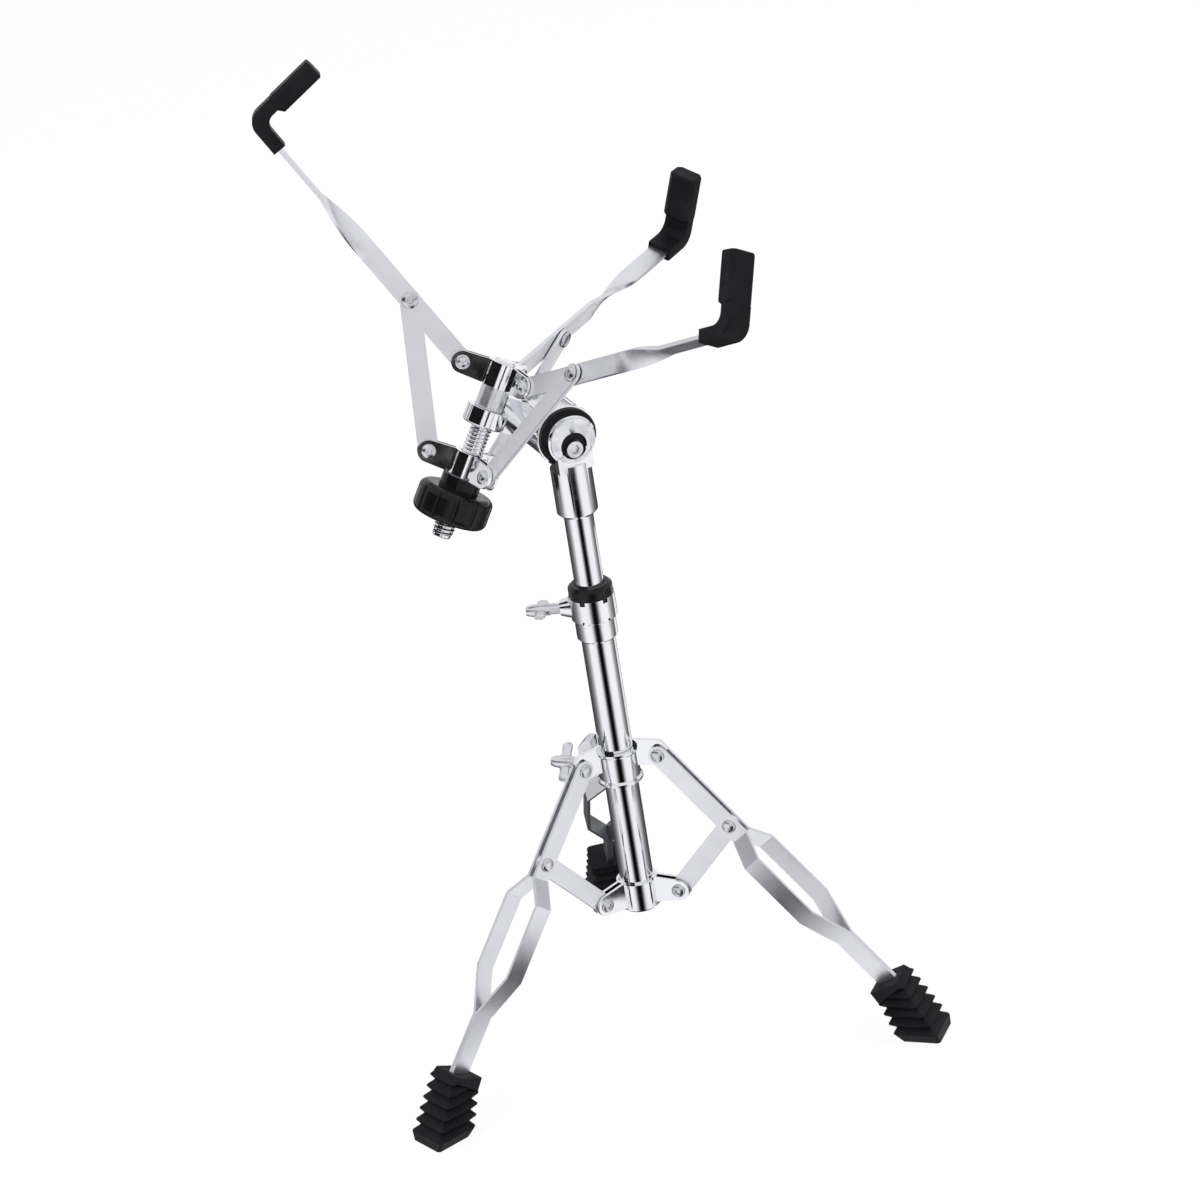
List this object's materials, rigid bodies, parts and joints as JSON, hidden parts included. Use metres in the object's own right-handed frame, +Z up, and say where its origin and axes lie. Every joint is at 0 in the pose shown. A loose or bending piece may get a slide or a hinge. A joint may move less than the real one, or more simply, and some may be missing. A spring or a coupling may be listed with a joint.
{
  "type": "snare drum stand",
  "caption": "Folding tripod stand with a telescopic column, a tilting head and a basket of hinged arms with rubber tips that grips a snare drum.",
  "frame": {"origin": "on the floor, under the axis of the column", "axes": "+Z up along the column; -Y towards the viewer of the picture; +X to the viewer's right"},
  "size_m": [0.3571, 0.351, 0.6776],
  "materials": {
    "chrome": "polished",
    "steel": "plain zinc",
    "rubber": "satin",
    "black_plastic": "gloss",
    "nylon": "matt"
  },
  "bodies": {
    "base": {"lower_tube": "chrome", "tube_end_plug": "nylon", "bottom_bracket": "chrome", "bottom_rivets": "steel", "height_clamp": "chrome", "height_clamp_insert": "steel", "height_bush": "black_plastic"},
    "height_screw": {"height_wing_bolt": "chrome"},
    "collar": {"tripod_collar": "chrome", "tripod_collar_nut": "steel"},
    "collar_screw": {"tripod_wing_bolt": "chrome"},
    "guide": {"guide_plug": "nylon"},
    "post": {"upper_tube": "chrome", "tilter_socket": "chrome", "tilter_face_plate": "chrome", "tilter_face_screw": "steel", "tilter_stud": "steel", "tilter_washer": "nylon"},
    "tilt_nut": {"tilter_wing_nut": "chrome"},
    "rod_holder": {"rod_holder": "chrome", "basket_rod": "chrome", "rod_sleeve": "chrome", "basket_hub": "chrome", "hub_rivets": "steel"},
    "bracket": {"lower_bracket": "chrome", "bracket_rivets": "steel"},
    "knob": {"basket_knob": "black_plastic"},
    "leg_strut_right": {"leg_right_strut": "chrome"},
    "leg_right": {"leg_right_strip_a": "chrome", "leg_right_strip_b": "chrome", "leg_right_rivets": "steel", "leg_right_foot": "rubber"},
    "leg_strut_rear": {"leg_rear_strut": "chrome"},
    "leg_rear": {"leg_rear_strip_a": "chrome", "leg_rear_strip_b": "chrome", "leg_rear_rivets": "steel", "leg_rear_foot": "rubber"},
    "leg_strut_left": {"leg_left_strut": "chrome"},
    "leg_left": {"leg_left_strip_a": "chrome", "leg_left_strip_b": "chrome", "leg_left_rivets": "steel", "leg_left_foot": "rubber"},
    "arm_front": {"arm_front_bar": "chrome", "arm_front_tip": "rubber", "arm_front_rivet": "steel"},
    "arm_strut_front": {"arm_front_strut": "chrome"},
    "arm_rear": {"arm_rear_bar": "chrome", "arm_rear_tip": "rubber", "arm_rear_rivet": "steel"},
    "arm_strut_rear": {"arm_rear_strut": "chrome"},
    "arm_left": {"arm_left_bar": "chrome", "arm_left_tip": "rubber", "arm_left_rivet": "steel"},
    "arm_strut_left": {"arm_left_strut": "chrome"}
  },
  "joints": [
    {"name": "height_slide", "type": "slide", "parent": "base", "child": "guide", "axis": [0, 0, 1], "range_m": [-0.015, 0.09]},
    {"name": "column_swivel", "type": "hinge", "parent": "guide", "child": "post", "pos_m": [0, 0, 0.3], "axis": [0, 0, 1], "continuous": true},
    {"name": "basket_tilt", "type": "hinge", "parent": "post", "child": "rod_holder", "pos_m": [0, 0, 0.426], "axis": [-0.342, 0.9397, 0], "range_deg": [-31.5, 43.5]},
    {"name": "tilt_nut_turn", "type": "hinge", "parent": "post", "child": "tilt_nut", "pos_m": [-0.01436, 0.03947, 0.426], "axis": [-0.342, 0.9397, 0], "continuous": true},
    {"name": "height_screw_turn", "type": "hinge", "parent": "base", "child": "height_screw", "pos_m": [-0.0208, 0.00292, 0.30675], "axis": [-0.9903, 0.1392, 0], "continuous": true},
    {"name": "collar_screw_turn", "type": "hinge", "parent": "collar", "child": "collar_screw", "pos_m": [-0.01827, 0.00813, 0.19085], "axis": [-0.9135, 0.4067, 0], "continuous": true},
    {"name": "leg_right_fold", "type": "hinge", "parent": "base", "child": "leg_strut_right", "pos_m": [0.02695, -0.012, 0.0995], "axis": [-0.4067, -0.9135, 0], "range_deg": [0, 32.05]},
    {"name": "leg_right_swing", "type": "hinge", "parent": "leg_strut_right", "child": "leg_right", "pos_m": [0.06541, -0.02912, 0.14968], "axis": [-0.4067, -0.9135, 0], "range_deg": [-64.1, 0]},
    {"name": "leg_rear_fold", "type": "hinge", "parent": "base", "child": "leg_strut_rear", "pos_m": [-0.00308, 0.02934, 0.0995], "axis": [0.9945, 0.1045, 0], "range_deg": [0, 32.05]},
    {"name": "leg_rear_swing", "type": "hinge", "parent": "leg_strut_rear", "child": "leg_rear", "pos_m": [-0.00748, 0.07121, 0.14968], "axis": [0.9945, 0.1045, 0], "range_deg": [-64.1, 0]},
    {"name": "leg_left_fold", "type": "hinge", "parent": "base", "child": "leg_strut_left", "pos_m": [-0.02387, -0.01734, 0.0995], "axis": [-0.5878, 0.809, 0], "range_deg": [0, 32.05]},
    {"name": "leg_left_swing", "type": "hinge", "parent": "leg_strut_left", "child": "leg_left", "pos_m": [-0.05793, -0.04209, 0.14968], "axis": [-0.5878, 0.809, 0], "range_deg": [-64.1, 0]},
    {"name": "collar_slide", "type": "slide", "parent": "base", "child": "collar", "axis": [0, 0, 1], "range_m": [0, 0.0293]},
    {"name": "bracket_slide", "type": "slide", "parent": "rod_holder", "child": "bracket", "axis": [0.491, 0.1787, 0.8526], "range_m": [-0.003, 0.01]},
    {"name": "knob_turn", "type": "hinge", "parent": "bracket", "child": "knob", "pos_m": [-0.07392, 0.00928, 0.39438], "axis": [0.491, 0.1787, 0.8526], "range_deg": [-432.5, 1440.5]},
    {"name": "arm_front_open", "type": "hinge", "parent": "rod_holder", "child": "arm_front", "pos_m": [-0.02161, 0.00069, 0.46176], "axis": [0.7362, 0.4381, -0.5158], "range_deg": [-21.48, 6.48]},
    {"name": "arm_front_strut_swing", "type": "hinge", "parent": "bracket", "child": "arm_strut_front", "pos_m": [-0.05185, -0.01032, 0.40923], "axis": [0.7362, 0.4381, -0.5158], "range_deg": [-7.53, 2.29]},
    {"name": "arm_rear_open", "type": "hinge", "parent": "rod_holder", "child": "arm_rear", "pos_m": [-0.02321, 0.04542, 0.4533], "axis": [-0.7714, 0.5439, 0.3302], "range_deg": [-21.48, 6.48]},
    {"name": "arm_rear_strut_swing", "type": "hinge", "parent": "bracket", "child": "arm_strut_rear", "pos_m": [-0.05346, 0.03441, 0.40078], "axis": [-0.7714, 0.5439, 0.3302], "range_deg": [-7.53, 2.29]},
    {"name": "arm_left_open", "type": "hinge", "parent": "rod_holder", "child": "arm_left", "pos_m": [-0.05675, 0.02547, 0.4768], "axis": [0.0352, -0.982, 0.1855], "range_deg": [-21.48, 6.48]},
    {"name": "arm_left_strut_swing", "type": "hinge", "parent": "bracket", "child": "arm_strut_left", "pos_m": [-0.087, 0.01446, 0.42428], "axis": [0.0352, -0.982, 0.1855], "range_deg": [-7.53, 2.29]}
  ],
  "couplings": [
    {"joint": "leg_right_fold", "follows": "collar_slide", "rad_per_m": 19.048},
    {"joint": "leg_right_swing", "follows": "collar_slide", "rad_per_m": -38.095},
    {"joint": "leg_rear_fold", "follows": "collar_slide", "rad_per_m": 19.048},
    {"joint": "leg_rear_swing", "follows": "collar_slide", "rad_per_m": -38.095},
    {"joint": "leg_left_fold", "follows": "collar_slide", "rad_per_m": 19.048},
    {"joint": "leg_left_swing", "follows": "collar_slide", "rad_per_m": -38.095},
    {"joint": "knob_turn", "follows": "bracket_slide", "rad_per_m": 2513.3},
    {"joint": "arm_front_open", "follows": "bracket_slide", "rad_per_m": -37.404},
    {"joint": "arm_front_strut_swing", "follows": "bracket_slide", "rad_per_m": -13.053},
    {"joint": "arm_rear_open", "follows": "bracket_slide", "rad_per_m": -37.404},
    {"joint": "arm_rear_strut_swing", "follows": "bracket_slide", "rad_per_m": -13.053},
    {"joint": "arm_left_open", "follows": "bracket_slide", "rad_per_m": -37.404},
    {"joint": "arm_left_strut_swing", "follows": "bracket_slide", "rad_per_m": -13.053}
  ]
}
